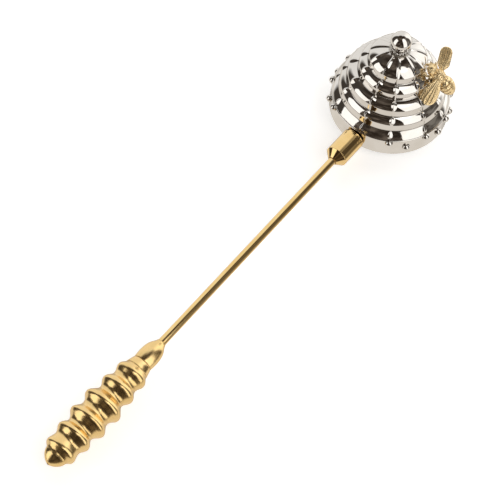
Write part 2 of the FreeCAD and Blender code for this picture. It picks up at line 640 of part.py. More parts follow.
ferrule = new_body("ferrule")
s = new_sketch(ferrule, "ferrule_profile", "XZ_Plane")
fr, sp, rb_ = D["ferrule_radius"], D["spigot_radius"], D["rod_bore_radius"]
tap = D["screw_radius"] + 0.01
outline(s, [
    (D["spigot_start"], tap), (D["spigot_start"], sp), (D["ferrule_start"], sp), (D["ferrule_start"], fr - 0.55),
    (D["ferrule_start"] + 0.55, fr, D["ferrule_start"] + 0.16, fr - 0.16), (D["ferrule_corner"], fr),
    (D["ferrule_end"], D["ferrule_nose_radius"]), (D["ferrule_end"], rb_), (D["rod_start"] - 0.02, rb_),
    (D["rod_start"] - 0.02, tap),
], {1: ("Dims.spigot_start", "Dims.spigot_radius"), 2: ("Dims.ferrule_start", "Dims.spigot_radius"),
    5: ("Dims.ferrule_corner", "Dims.ferrule_radius"), 6: ("Dims.ferrule_end", "Dims.ferrule_nose_radius"),
    7: ("Dims.ferrule_end", "Dims.rod_bore_radius")})
revolve(ferrule, s, "ferrule_turning", "H_Axis")
ferrule.Placement = lift

screw = new_body("ferrule_screw")
s = new_sketch(screw, "screw_profile", "XZ_Plane")
hf = D["screw_head_face"]
outline(s, [
    (hf + 0.7, 0.0), (hf + 0.7, 0.9), (hf, 0.9), (hf, D["screw_head_radius"]), (hf + 1.0, D["screw_radius"]),
    (D["screw_end"] - 0.3, D["screw_radius"]), (D["screw_end"], D["screw_radius"] - 0.3), (D["screw_end"], 0.0),
], {3: ("Dims.screw_head_face", "Dims.screw_head_radius"), 4: ("Dims.screw_head_face + 1", "Dims.screw_radius"),
    7: ("Dims.screw_end", None)})
revolve(screw, s, "screw_turning", "H_Axis")
screw.Placement = lift

rod = new_body("handle_rod")
s = new_sketch(rod, "rod_profile", "XZ_Plane")
rr = D["rod_radius"]
outline(s, [
    (D["rod_start"], 0.0), (D["rod_start"], rr - 0.25), (D["rod_start"] + 0.25, rr), (D["rod_end"] - 0.25, rr),
    (D["rod_end"], rr - 0.25), (D["rod_end"], 0.0),
], {0: ("Dims.rod_start", None), 2: ("Dims.rod_start + 0.25", "Dims.rod_radius"),
    3: ("Dims.rod_end - 0.25", "Dims.rod_radius"), 5: ("Dims.rod_end", None)})
revolve(rod, s, "rod_turning", "H_Axis")
rod.Placement = lift

neck = new_body("grip_neck")
s = new_sketch(neck, "neck_profile", "XZ_Plane")
n0, g0, nk = D["neck_start"], D["grip_start"], D["neck_radius"]
outline(s, [
    (n0, rb_), (n0, 1.85), (n0 + 1.5, 2.72, n0 + 0.62, 2.08), (n0 + 5.6, nk - 0.06, n0 + 3.3, 3.66),
    (g0, 3.78, n0 + 8.2, nk), (g0, rb_),
], {0: ("Dims.neck_start", "Dims.rod_bore_radius"), 3: (None, "Dims.neck_radius - 0.06"),
    4: ("Dims.grip_start", None), 5: ("Dims.grip_start", "Dims.rod_bore_radius")})
revolve(neck, s, "neck_turning", "H_Axis")
neck.Placement = lift

# the grip: a collar, six ridges with scalloped valleys between, and a domed end
CREST = [(157.9, 6.15), (165.2, 6.85), (173.3, 7.8), (181.0, 7.65), (188.1, 6.95), (194.7, 6.2)]
VALLEY = [(161.6, 5.0), (168.9, 5.15), (177.1, 5.7), (184.9, 5.25), (191.6, 5.4)]
grip = new_body("grip")
s = new_sketch(grip, "grip_profile", "XZ_Plane")
pts = [(g0 + 18.3, 0.0), (g0 + 18.3, rb_), (g0, rb_), (g0, 3.95), (g0 + 0.25, 4.2), (155.2, 4.72)]
b2 = {2: ("Dims.grip_start", "Dims.rod_bore_radius")}


def blend_point(cx, cr, vx, vr, f=0.50):
    """Where the crest's arc hands over to the valley's arc."""
    return (cx + (vx - cx) * f, vr + (cr - vr) * 0.46)


prev = (155.2, 4.72)
for i, (cx, cr) in enumerate(CREST):
    if i == 0:
        p_in = (156.3, 5.25)
        pts.append(p_in)
    else:
        vx, vr = VALLEY[i - 1]
        p_out = blend_point(CREST[i - 1][0], CREST[i - 1][1], vx, vr)
        p_in = blend_point(cx, cr, vx, vr)
        pts.append((p_in[0], p_in[1], vx, vr))
    if i < len(VALLEY):
        p_out = blend_point(cx, cr, VALLEY[i][0], VALLEY[i][1])
    else:
        p_out = (196.2, 5.35)
    pts.append((p_out[0], p_out[1], cx, cr))
pts.append((197.3, 4.48))
pts.append((D["grip_end"], 0.62, 199.85, 3.05))
pts.append((D["grip_end"] - 1.1, 0.0))
b2[len(pts) - 2] = ("Dims.grip_end", None)
outline(s, pts, b2)
revolve(grip, s, "grip_turning", "H_Axis")
grip.Placement = lift
doc.recompute()

# ---------------------------------------------------------------------------
# Check and write
# ---------------------------------------------------------------------------
NODES = [band, shell, studs_upper, studs_lower, ball, collar, fwasher, fnut, bee, wing_l, wing_r, bwasher, bnut,
         ferrule, screw, rod, neck, grip]
for o in doc.Objects:
    bad = [st for st in o.State if st in ("Invalid", "Error")]
    if bad:
        raise RuntimeError("%s is %s" % (o.Name, bad))
os.makedirs("parts", exist_ok=True)
for o in NODES:
    sh_ = o.Shape
    if o in (studs_upper, studs_lower) and max(b.Volume for b in sh_.Solids) > 1.05 * min(b.Volume for b in sh_.Solids):
        raise RuntimeError("%s: a bead was not trimmed to the band" % o.Label)
    if sh_.isNull() or not sh_.isValid() or not sh_.Solids:
        raise RuntimeError("%s has no valid solid" % o.Label)
    print("%-18s solids %2d  volume %10.2f  box %s" % (o.Label, len(sh_.Solids), sh_.Volume,
          [round(x, 2) for x in (sh_.BoundBox.XMin, sh_.BoundBox.YMin, sh_.BoundBox.ZMin,
                                 sh_.BoundBox.XMax, sh_.BoundBox.YMax, sh_.BoundBox.ZMax)]))
    sh_.exportStep("parts/%s.step" % o.Label)
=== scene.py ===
import math

import bpy
import numpy as np
from mathutils import Matrix, Vector, noise


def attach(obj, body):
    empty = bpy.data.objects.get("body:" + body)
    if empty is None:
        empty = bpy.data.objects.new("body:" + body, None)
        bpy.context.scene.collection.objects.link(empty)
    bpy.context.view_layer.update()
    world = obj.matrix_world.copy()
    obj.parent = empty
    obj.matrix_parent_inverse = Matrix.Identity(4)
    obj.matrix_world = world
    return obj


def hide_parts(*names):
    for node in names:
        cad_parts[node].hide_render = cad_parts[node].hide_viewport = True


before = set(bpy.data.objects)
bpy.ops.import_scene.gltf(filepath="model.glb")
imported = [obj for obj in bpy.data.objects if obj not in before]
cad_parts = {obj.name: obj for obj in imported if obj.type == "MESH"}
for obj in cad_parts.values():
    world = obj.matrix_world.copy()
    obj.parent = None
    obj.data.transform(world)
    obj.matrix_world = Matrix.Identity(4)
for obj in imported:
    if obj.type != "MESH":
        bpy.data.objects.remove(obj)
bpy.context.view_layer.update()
scene = bpy.context.scene
scene.view_settings.view_transform = "Standard"
MM = 0.001

# ---------------------------------------------------------------------------
# Camera
# ---------------------------------------------------------------------------
RIGHT = Vector((-0.6205, 0.7833, 0.0393))
UP_ = Vector((-0.6619, -0.5499, 0.5095))
BACK = Vector((0.4207, 0.2901, 0.8596))
BACK.normalize()
RIGHT = (RIGHT - BACK * RIGHT.dot(BACK)).normalized()
UP_ = BACK.cross(RIGHT)
cam = bpy.data.objects.new("camera", bpy.data.cameras.new("camera"))
scene.collection.objects.link(cam)
cam.data.lens = 104.4
cam.data.sensor_width = 36.0
cam.data.clip_start = 0.01
m = Matrix((RIGHT, UP_, BACK)).transposed().to_4x4()
m.translation = Vector((0.318484, 0.157632, 0.469149))
cam.matrix_world = m
scene.camera = cam

# ---------------------------------------------------------------------------
# Materials
# ---------------------------------------------------------------------------


def nodes_of(mat):
    mat.use_nodes = True
    nt = mat.node_tree
    nt.nodes.clear()
    return nt, nt.nodes, nt.links


def metal(name, colour, shade, rough, rough_far, grain, grain_depth, painted_shade_colour, swirl=0.0, swirl_scale=250.0, sheen=1.0):
    """Polished metal: base colour drifts towards a second tone in random soft patches; painted shade pulls it towards a
    third, dark colour where the piece's own per-vertex shade amount is high, and raises the roughness there; roughness
    drifts, and a fine grain shows in the bump."""
    mat = bpy.data.materials.new(name)
    nt, N, L = nodes_of(mat)
    out = N.new("ShaderNodeOutputMaterial")
    bsdf = N.new("ShaderNodeBsdfPrincipled")
    L.new(bsdf.outputs["BSDF"], out.inputs["Surface"])
    bsdf.inputs["Metallic"].default_value = sheen
    tex = N.new("ShaderNodeTexCoord")
    big = N.new("ShaderNodeTexNoise")
    big.inputs["Scale"].default_value = 130.0
    big.inputs["Detail"].default_value = 3.0
    L.new(tex.outputs["Object"], big.inputs["Vector"])
    mix = N.new("ShaderNodeMix")
    mix.data_type = "RGBA"
    mix.inputs["A"].default_value = (*colour, 1)
    mix.inputs["B"].default_value = (*shade, 1)
    ramp = N.new("ShaderNodeMapRange")
    ramp.inputs["From Min"].default_value = 0.38
    ramp.inputs["From Max"].default_value = 0.72
    L.new(big.outputs["Fac"], ramp.inputs["Value"])
    L.new(ramp.outputs["Result"], mix.inputs["Factor"])
    # painted shade: the piece's per-vertex shade amount pulls the colour towards the third, dark colour
    shade_amount = N.new("ShaderNodeAttribute")
    shade_amount.attribute_name = "painted_shade"
    mix2 = N.new("ShaderNodeMix")
    mix2.data_type = "RGBA"
    L.new(mix.outputs["Result"], mix2.inputs["A"])
    mix2.inputs["B"].default_value = (*painted_shade_colour, 1)
    L.new(shade_amount.outputs["Fac"], mix2.inputs["Factor"])
    L.new(mix2.outputs["Result"], bsdf.inputs["Base Color"])
    rr = N.new("ShaderNodeMapRange")
    rr.inputs["From Min"].default_value = 0.3
    rr.inputs["From Max"].default_value = 0.75
    rr.inputs["To Min"].default_value = rough
    rr.inputs["To Max"].default_value = rough_far
    L.new(big.outputs["Fac"], rr.inputs["Value"])
    radd = N.new("ShaderNodeMath")
    radd.operation = "MULTIPLY_ADD"
    L.new(shade_amount.outputs["Fac"], radd.inputs[0])
    radd.inputs[1].default_value = 0.22
    L.new(rr.outputs["Result"], radd.inputs[2])
    L.new(radd.outputs["Value"], bsdf.inputs["Roughness"])
    fine = N.new("ShaderNodeTexNoise")
    fine.inputs["Scale"].default_value = grain
    fine.inputs["Detail"].default_value = 4.0
    L.new(tex.outputs["Object"], fine.inputs["Vector"])
    bump = N.new("ShaderNodeBump")
    bump.inputs["Strength"].default_value = 1.0
    bump.inputs["Distance"].default_value = grain_depth
    L.new(fine.outputs["Fac"], bump.inputs["Height"])
    last = bump
    if swirl:
        wave = N.new("ShaderNodeTexNoise")
        wave.inputs["Scale"].default_value = swirl_scale
        wave.inputs["Detail"].default_value = 1.0
        L.new(tex.outputs["Object"], wave.inputs["Vector"])
        b2 = N.new("ShaderNodeBump")
        b2.inputs["Strength"].default_value = 1.0
        b2.inputs["Distance"].default_value = swirl
        L.new(wave.outputs["Fac"], b2.inputs["Height"])
        L.new(bump.outputs["Normal"], b2.inputs["Normal"])
        last = b2
    L.new(last.outputs["Normal"], bsdf.inputs["Normal"])
    return mat


def turned(name, colour, shade, rough, painted_shade_colour, axis="x", rings=0.0000009):
    """Lathe-turned polished metal: as metal(), with very fine rings across the axis."""
    mat = metal(name, colour, shade, rough, rough + 0.05, 2600.0, 0.0000012, painted_shade_colour, 0.000010, 160.0)
    nt = mat.node_tree
    N, L = nt.nodes, nt.links
    bsdf = [n for n in N if n.type == "BSDF_PRINCIPLED"][0]
    old = bsdf.inputs["Normal"].links[0].from_socket
    tex = [n for n in N if n.type == "TEX_COORD"][0]
    sep = N.new("ShaderNodeSeparateXYZ")
    L.new(tex.outputs["Object"], sep.inputs[0])
    ring = N.new("ShaderNodeTexNoise")
    ring.noise_dimensions = "1D"
    ring.inputs["Scale"].default_value = 9000.0
    ring.inputs["Detail"].default_value = 2.0
    L.new(sep.outputs["X" if axis == "x" else "Z"], ring.inputs["W"])
    b = N.new("ShaderNodeBump")
    b.inputs["Strength"].default_value = 1.0
    b.inputs["Distance"].default_value = rings
    L.new(ring.outputs["Fac"], b.inputs["Height"])
    L.new(old, b.inputs["Normal"])
    L.new(b.outputs["Normal"], bsdf.inputs["Normal"])
    return mat


# the third colour of each material is its painted shade colour, used where a piece's shade amount is high
NICKEL = metal("polished_nickel", (0.76, 0.73, 0.69), (0.70, 0.665, 0.61), 0.035, 0.08, 1500.0, 0.0000030,
               (0.16, 0.135, 0.10), 0.000030, 170.0)
BRASS = turned("turned_brass", (0.91, 0.655, 0.30), (0.86, 0.59, 0.24), 0.07, (0.30, 0.17, 0.05))
GRIPB = turned("cast_and_polished_brass", (0.91, 0.65, 0.295), (0.86, 0.60, 0.25), 0.21, (0.46, 0.27, 0.08), rings=0.0000014)
CAST = metal("cast_brass", (1.0, 0.79, 0.46), (0.98, 0.74, 0.39), 0.20, 0.28, 1800.0, 0.000010,
             (0.55, 0.34, 0.12), 0.00004, 700.0, 0.80)
STEEL = metal("plain_steel", (0.56, 0.55, 0.53), (0.48, 0.47, 0.45), 0.22, 0.32, 2500.0, 0.000006, (0.2, 0.19, 0.18))

# ---------------------------------------------------------------------------
# Mesh helpers.  Sizes below are millimetres in the frame's axes; meshes are stored in metres.
# ---------------------------------------------------------------------------


def make(name, verts, faces, mat, nodes=(), painted_shade=None, sharp=None):
    verts = np.asarray(verts, float)
    faces = np.asarray(faces, object) if not isinstance(faces, np.ndarray) else faces
    fl = faces.tolist()
    tri = np.array([(f[0], f[1], f[2]) for f in fl])
    vol = np.einsum("ij,ij->i", verts[tri[:, 0]], np.cross(verts[tri[:, 1]], verts[tri[:, 2]])).sum()
    quad = np.array([(f[0], f[2], f[3]) for f in fl if len(f) == 4]).reshape(-1, 3)
    if len(quad):
        vol += np.einsum("ij,ij->i", verts[quad[:, 0]], np.cross(verts[quad[:, 1]], verts[quad[:, 2]])).sum()
    if vol < 0:
        fl = [f[::-1] for f in fl]
    me = bpy.data.meshes.new(name)
    me.from_pydata((verts * MM).tolist(), [], fl)
    me.validate()
    me.shade_smooth()
    if sharp:
        me.set_sharp_from_angle(angle=math.radians(sharp))
    # painted shade amount per vertex, read by the materials to darken the colour
    if painted_shade is not None:
        a = me.attributes.new("painted_shade", "FLOAT", "POINT")
        a.data.foreach_set("value", np.asarray(painted_shade, np.float32))
    me.materials.append(mat)
    ob = bpy.data.objects.new(name, me)
    scene.collection.objects.link(ob)
    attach(ob, "root")
    if nodes:
        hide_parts(*nodes)
    return ob


def fillet(corners, n=6, lead=0.04):
    """corners: (u, r, radius).  Rounds each corner that has a radius, with a short lead each side so that the
    flats stay flat in the shading."""
    out = []
    m_ = len(corners)
    for i, (u, r, rad) in enumerate(corners):
        if rad <= 0 or i in (0, m_ - 1):
            out.append((u, r))
            continue
        p = np.array([u, r], float)
        a = np.array(corners[i - 1][:2], float) - p
        b = np.array(corners[i + 1][:2], float) - p
        la, lb = np.linalg.norm(a), np.linalg.norm(b)
        a, b = a / la, b / lb
        ang = math.acos(max(-1, min(1, float(a @ b))))
        t = rad / math.tan(ang / 2)
        t = min(t, 0.45 * la, 0.45 * lb)
        rr = t * math.tan(ang / 2)
        mid = (a + b) / np.linalg.norm(a + b)
        c = p + mid * (rr / math.sin(ang / 2))
        p0, p1 = p + a * t, p + b * t
        ld = min(lead, 0.04 * la, 0.04 * lb)
        out.append(tuple(p0 + a * ld))
        v0, v1 = p0 - c, p1 - c
        tot = math.acos(max(-1, min(1, float(v0 @ v1) / (np.linalg.norm(v0) * np.linalg.norm(v1)))))
        sgn = 1 if v0[0] * v1[1] - v0[1] * v1[0] > 0 else -1
        for k in range(n + 1):
            th = sgn * tot * k / n
            out.append((c[0] + v0[0] * math.cos(th) - v0[1] * math.sin(th),
                        c[1] + v0[0] * math.sin(th) + v0[1] * math.cos(th)))
        out.append(tuple(p1 + b * ld))
    return out


def spline(points, step=0.12):
    """Smooth curve through (u, r) points (centripetal Catmull-Rom)."""
    P = [np.array(p[:2], float) for p in points]
    P = [2 * P[0] - P[1]] + P + [2 * P[-1] - P[-2]]
    out = []
    for i in range(1, len(P) - 2):
        p0, p1, p2, p3 = P[i - 1:i + 3]
        t0 = 0.0
        t1 = t0 + np.linalg.norm(p1 - p0) ** 0.5
        t2 = t1 + np.linalg.norm(p2 - p1) ** 0.5
        t3 = t2 + np.linalg.norm(p3 - p2) ** 0.5
        n = max(2, int(np.linalg.norm(p2 - p1) / step))
        for k in range(n):
            t = t1 + (t2 - t1) * k / n
            a1 = (t1 - t) / (t1 - t0) * p0 + (t - t0) / (t1 - t0) * p1
            a2 = (t2 - t) / (t2 - t1) * p1 + (t - t1) / (t2 - t1) * p2
            a3 = (t3 - t) / (t3 - t2) * p2 + (t - t2) / (t3 - t2) * p3
            b1 = (t2 - t) / (t2 - t0) * a1 + (t - t0) / (t2 - t0) * a2
            b2 = (t3 - t) / (t3 - t1) * a2 + (t - t1) / (t3 - t1) * a3
            out.append(tuple((t2 - t) / (t2 - t1) * b1 + (t - t1) / (t2 - t1) * b2))
    out.append(tuple(P[-2]))
    return out


def grid_faces(rows, cols, wrap_rows):
    """Quads of a grid whose columns wrap round."""
    last = rows if wrap_rows else rows - 1
    i = np.arange(last)[:, None]
    j = np.arange(cols)[None, :]
    i2 = (i + 1) % rows
    j2 = (j + 1) % cols
    return np.stack([i * cols + j, i * cols + j2, i2 * cols + j2, i2 * cols + j], -1).reshape(-1, 4)


def turn(prof, axis, seg, closed, centre=(0.0, 0.0, 0.0), wobble=0.0, wobble_scale=0.3):
    """Vertices and faces of a turned shape.  A profile end with r = 0 closes on its axis."""
    prof = [tuple(p) for p in prof]
    clean = [prof[0]]
    for p in prof[1:]:
        if math.hypot(p[0] - clean[-1][0], p[1] - clean[-1][1]) > 1e-5:
            clean.append(p)
    prof = clean
    start = prof[0] if not closed and prof[0][1] < 1e-6 else None
    end = prof[-1] if not closed and prof[-1][1] < 1e-6 else None
    ring = prof[1 if start else 0: len(prof) - 1 if end else len(prof)]
    t = np.arange(seg) * 2 * math.pi / seg
    U = np.array([p[0] for p in ring])[:, None] * np.ones(seg)
    R = np.array([p[1] for p in ring])[:, None] * np.ones(seg)
    if wobble:
        for a in range(R.shape[0]):
            for b in range(seg):
                R[a, b] += wobble * noise.noise(Vector((U[a, b] * wobble_scale, math.cos(t[b]) * R[a, b] * wobble_scale,
                                                        math.sin(t[b]) * R[a, b] * wobble_scale)))
    C, S = R * np.cos(t), R * np.sin(t)
    pts = np.stack([U, C, S], -1) if axis == "X" else np.stack([C, S, U], -1)
    verts = pts.reshape(-1, 3)
    faces = grid_faces(len(ring), seg, closed).tolist()
    n = len(verts)
    extra = []
    if start:
        extra.append((start[0], 0, 0) if axis == "X" else (0, 0, start[0]))
        faces += [[n, (j + 1) % seg, j] for j in range(seg)]
    if end:
        k = n + len(extra)
        extra.append((end[0], 0, 0) if axis == "X" else (0, 0, end[0]))
        base = (len(ring) - 1) * seg
        faces += [[k, base + j, base + (j + 1) % seg] for j in range(seg)]
    if extra:
        verts = np.vstack([verts, np.array(extra, float)])
    return verts + np.array(centre), faces


def lathe(name, prof, axis, seg, mat, nodes, closed=False, centre=(0, 0, 0), sharp=None, painted_shade=None, wobble=0.0):
    v, f = turn(prof, axis, seg, closed, centre, wobble)
    # painted shade amount, from the given function of (u, r)
    shade_amount = None
    if painted_shade is not None:
        c = np.array(centre)
        q = v - c
        u = q[:, 0] if axis == "X" else q[:, 2]
        r = np.hypot(q[:, 1], q[:, 2]) if axis == "X" else np.hypot(q[:, 0], q[:, 1])
        shade_amount = painted_shade(u, r)
    return make(name, v, f, mat, nodes, shade_amount, sharp)


# ---------------------------------------------------------------------------
# Hive
# ---------------------------------------------------------------------------
TIERS = [
    (23.3, 8.0, 24.0, 21.15, 11.4, 44.0),
    (20.95, 14.4, 17.0, 18.65, 17.2, 68.0),
    (18.4, 20.2, 18.0, 14.75, 22.6, 80.0),
    (14.5, 25.7, 17.0, 11.45, 28.4, 76.0),
    (11.2, 31.1, 15.0, 3.9, 35.3, 82.0),
]
RIBS = [-68.0, -35.0, 5.0, 34.0, 71.0, 98.0, 131.0, 163.5, 196.0, 228.5, 260.5]


def shoulder(r0, z0, e0, r1, z1, e1, n):
    def run(p):
        pts, r, z = [(0.0, 0.0)], 0.0, 0.0
        for k in range(240):
            e = math.radians(e0 + (e1 - e0) * ((k + 0.5) / 240.0) ** p)
            r += math.sin(e) / 240
            z += math.cos(e) / 240
            pts.append((r, z))
        return pts
    want = (r0 - r1) / (z1 - z0)
    lo, hi = 0.05, 12.0
    for _ in range(60):
        p = math.sqrt(lo * hi)
        pts = run(p)
        if pts[-1][0] / pts[-1][1] > want:
            lo = p
        else:
            hi = p
    sc = (z1 - z0) / pts[-1][1]
    return [(r0 - pts[int(round(240.0 * k / n))][0] * sc, z0 + pts[int(round(240.0 * k / n))][1] * sc)
            for k in range(n + 1)]


def hive_profile():
    """Outside of the hive from foot to crown: (r, z, rib height, rib half-width, painted shade amount)."""
    # painted shade at the wall's top, where it meets the rim band and the first shoulder
    rows = [(22.6, 0.0, 0, 1, 0.0), (22.6, 4.0, 0, 1, 0.0), (22.6, 7.98, 0, 1, 0.5), (22.75, 8.0, 0, 1, 0.8)]
    for k, (ra, za, e0, rb, zb, e1) in enumerate(TIERS):
        last = k == len(TIERS) - 1
        if k:
            rc, zc = TIERS[k - 1][3:5]
            n = 12
            for j in range(1, n):
                t = j / n
                # the skirt: nearly upright, very slightly hollow next to the ledge
                r = rc + (ra - rc) * t - 0.05 * math.sin(math.pi * t)
                z = zc + (za - zc) * t
                # painted shade in the crease at the foot of each skirt, where it meets the shoulder below
                rows.append((r, z, 0.15, 0.40, max(0.0, 0.75 - t * n * 0.42)))
        pts = shoulder(ra, za, e0, rb, zb, e1, 30 if last else 24)
        m_ = len(pts)
        for j, (r, z) in enumerate(pts):
            t = j / (m_ - 1)
            if last:
                w = 0.34 + (0.52 - 0.20 * t) * math.sin(math.pi * min(1.0, t * 1.02)) ** 0.5
                h = 0.42 * w
            else:
                w = 0.24 + 0.92 * math.sin(math.pi * t)
                h = 0.43 * w
            if k == 0:
                h *= 0.8 * min(1.0, t * 3.0)
                w *= 0.9
            # painted shade along the inner edge of each shoulder, where it turns into the skirt above
            rows.append((r, z, h, w, max(0.0, (t - 0.93) / 0.07) * 0.65))
    # painted shade round the crown's top edge, next to the finial's collar
    rows[-1] = (3.9, 35.3, 0.05, 0.5, 0.6)
    return rows


def hive():
    rows = hive_profile()
    P = np.array([(r, z) for r, z, *_ in rows])
    # soften each crease into a small hollow
    for _ in range(2):
        Q = P.copy()
        for k in range(5, len(P) - 1):
            d1 = np.linalg.norm(P[k] - P[k - 1])
            d2 = np.linalg.norm(P[k + 1] - P[k])
            if max(d1, d2) < 0.45:
                Q[k] = 0.5 * P[k] + 0.25 * (P[k - 1] + P[k + 1])
        P = Q
    T_ = np.gradient(P, axis=0)
    T_ /= np.linalg.norm(T_, axis=1)[:, None] + 1e-12
    Nn = np.stack([T_[:, 1], -T_[:, 0]], 1)          # outward normal of a profile that climbs
    seg = 1440
    az = np.arange(seg) * 2 * math.pi / seg
    H = np.array([x[2] for x in rows])[:, None]
    W = np.array([x[3] for x in rows])[:, None]
    R0 = P[:, 0][:, None]
    disp = np.zeros((len(rows), seg))
    edge = np.zeros((len(rows), seg))
    for a in RIBS:
        d = (az - math.radians(a) + math.pi) % (2 * math.pi) - math.pi
        xs = d[None, :] * np.maximum(R0, 2.0) / W
        x = np.abs(xs)
        # a broad flank and a narrow one that meet in a softly rounded crest
        near, far = (xs + 1) / 0.67, (1 - xs) / 1.33
        bump = 0.5 * (near + far) - 0.5 * np.sqrt((near - far) ** 2 + 0.02)
        bump = np.clip(bump, 0, 1)
        disp = np.maximum(disp, H * bump)
        # painted shade: a dark line along each side of every rib
        edge = np.maximum(edge, np.where((x > 0.8) & (x < 1.35), 1 - np.abs(x - 1.05) / 0.3, 0.0) * np.minimum(1, H / 0.3))
    edge = np.clip(edge, 0, 1)
    wob = np.zeros_like(disp)
    for i in range(len(rows)):
        if rows[i][1] < 8.0:
            continue
        r, z = P[i]
        for j in range(0, seg, 6):
            wob[i, j] = noise.noise(Vector((r * math.cos(az[j]) * 0.22, r * math.sin(az[j]) * 0.22, z * 0.30)))
        k0 = np.arange(0, seg, 6)
        wob[i] = np.interp(np.arange(seg), np.append(k0, seg), np.append(wob[i, k0], wob[i, 0]))
    D = disp + wob * 0.055
    D[:5] = 0
    R = P[:, 0][:, None] + Nn[:, 0][:, None] * D
    Z = P[:, 1][:, None] + Nn[:, 1][:, None] * D
    # painted shade from the rows, plus the dark lines along the ribs' sides above the band
    shade_amount = np.clip(np.array([x[4] for x in rows])[:, None] + 0.14 * edge * (np.array([x[1] for x in rows])[:, None] > 8), 0, 0.9)
    # crown, stud hole and inside
    inner = fillet([(1.55, 35.3, 0), (1.55, 33.9, 0), (4.4, 33.9, 0.2), (5.4, 33.7, 0.8), (10.0, 30.6, 0.6), (10.15, 27.6, 0.5),
                    (13.3, 25.6, 0.6), (13.45, 21.7, 0.5), (17.05, 19.7, 0.6), (17.2, 16.7, 0.5), (19.55, 14.0, 0.6),
                    (19.7, 11.8, 0.5), (21.4, 9.0, 0.4), (21.4, 0.0, 0), (22.55, 0.0, 0)], 5)
    IR = np.array([p[0] for p in inner])[:, None] * np.ones(seg)
    IZ = np.array([p[1] for p in inner])[:, None] * np.ones(seg)
    R = np.vstack([R, IR])
    Z = np.vstack([Z, IZ])
    # painted shade over the whole inside of the hive
    shade_amount = np.vstack([shade_amount * np.ones((1, seg)), np.full(IR.shape, 0.25)])
    V_ = np.stack([R * np.cos(az), R * np.sin(az), Z], -1).reshape(-1, 3)
    F = grid_faces(R.shape[0], seg, True)
    ob = make("hive_skep", V_, F, NICKEL, ("hive_shell",), shade_amount.reshape(-1), sharp=48)
    return ob


hive_ob = hive()

# seat for the screw's head, cut into the inside of the wall
v, f = turn([(20.6, 0.0), (20.6, 2.53), (21.5, 2.53), (22.45, 1.58), (22.59, 1.58), (22.59, 0.0)], "X", 64, False, (0, 0, 3.3))
me = bpy.data.meshes.new("seat_tool")
me.from_pydata((v * MM).tolist(), [], f)
tool = bpy.data.objects.new("seat_tool", me)
scene.collection.objects.link(tool)
md = hive_ob.modifiers.new("seat", "BOOLEAN")
md.operation = "DIFFERENCE"
md.solver = "EXACT"
md.object = tool
bpy.context.view_layer.update()
dg = bpy.context.evaluated_depsgraph_get()
cut = bpy.data.meshes.new_from_object(hive_ob.evaluated_get(dg))
hive_ob.modifiers.clear()
if len(cut.polygons) > 0.9 * len(hive_ob.data.polygons):
    hive_ob.data = cut
bpy.data.objects.remove(tool)

# ---------------------------------------------------------------------------
# Rim band and its beads
# ---------------------------------------------------------------------------
band = [(0.0, 22.62)] + fillet([(0.0, 22.62, 0), (0.0, 24.0, 0.2), (8.0, 23.65, 0.3), (8.0, 22.62, 0)], 7)[1:] + \
       [(6.0, 22.62), (4.0, 22.62), (2.0, 22.62)]
# painted shade on the band's inner face
lathe("rim_ring", band, "Z", 360, NICKEL, ("rim_band",), closed=True, sharp=50,
      painted_shade=lambda u, r: np.where(r < 22.7, 0.3, 0.0))

UPPER = [-68.0, -35.0, 34.0, 71.0, 101.0, 131.0, 163.5, 196.0, 228.5, 260.5]
LOWER = [-50.5, 51.0, 88.0, 116.0, 147.0, 180.0, 212.0, 245.0, 276.0]


def beads(name, angles, z, node):
    """Round-headed studs with a small waist where they meet the band."""
    rb = 24.0 - 0.35 * z / 8.0
    prof = [(-0.12, 0.0), (-0.12, 1.62), (0.06, 1.62), (0.16, 1.57)]
    for k in range(15):
        a = math.radians(4 + 86 * k / 14.0)
        prof.append((0.14 + 1.60 * math.sin(a), max(0.0, 1.60 * math.cos(a))))
    prof[-1] = (1.74, 0.0)
    V_, F, shade_amount = [], [], []
    for i, a in enumerate(angles):
        v, f = turn(prof, "X", 40, False)
        u = v[:, 0].copy()
        q = v.copy()
        # slight hand-finished difference from bead to bead
        k1 = 1.0 + 0.05 * noise.noise(Vector((i * 1.7, z, 3.1)))
        q[:, 0] = q[:, 0] * (0.96 + 0.08 * noise.noise(Vector((i * 2.3, z, 9.0)))) + rb - 0.1
        q[:, 1:] *= k1
        q[:, 2] += z
        t = math.radians(a)
        c, s_ = math.cos(t), math.sin(t)
        w = np.stack([q[:, 0] * c - q[:, 1] * s_, q[:, 0] * s_ + q[:, 1] * c, q[:, 2]], 1)
        n0 = sum(len(x) for x in V_)
        V_.append(w)
        F += [[n0 + b for b in fc] for fc in f]
        # painted shade round each stud's foot, where it meets the band
        shade_amount.append(np.clip(0.75 - (u - 0.02) * 1.9, 0, 0.75))
    return make(name, np.vstack(V_), F, NICKEL, (node,), np.concatenate(shade_amount), sharp=60)


beads("rim_beads_upper", UPPER, 6.7, "rim_studs_upper")
beads("rim_beads_lower", LOWER, 4.0, "rim_studs_lower")

# ---------------------------------------------------------------------------
# Finial: ball with neck and stud, and a beaded collar
# ---------------------------------------------------------------------------
ball = [(30.6, 0.0), (30.6, 1.2), (30.9, 1.5)]
for k in range(16):                                   # thread on the lower end of the stud
    z0 = 30.9 + 0.17 * k
    ball += [(z0 + 0.05, 1.5), (z0 + 0.13, 1.36)]
ball += [(33.7, 1.5), (35.3, 1.5), (35.3, 1.7), (36.3, 1.7), (36.3, 2.15)]
zt = 40.1 - math.sqrt(4.1 ** 2 - 2.15 ** 2)
ball += [(36.45, 2.12), (zt - 0.1, 2.06)]
for k in range(49):
    a = math.pi - math.asin(2.12 / 4.1) - (math.pi - math.asin(2.12 / 4.1)) * k / 48.0
    ball.append((40.1 + 4.1 * math.cos(a), max(0.0, 4.1 * math.sin(a))))
ball[-1] = (44.2, 0.0)
# painted shade where the ball's neck meets the collar
lathe("finial", ball, "Z", 128, NICKEL, ("finial_ball",), sharp=55,
      painted_shade=lambda u, r: np.clip(1 - np.abs(u - 36.45) / 0.45, 0, 0.8))

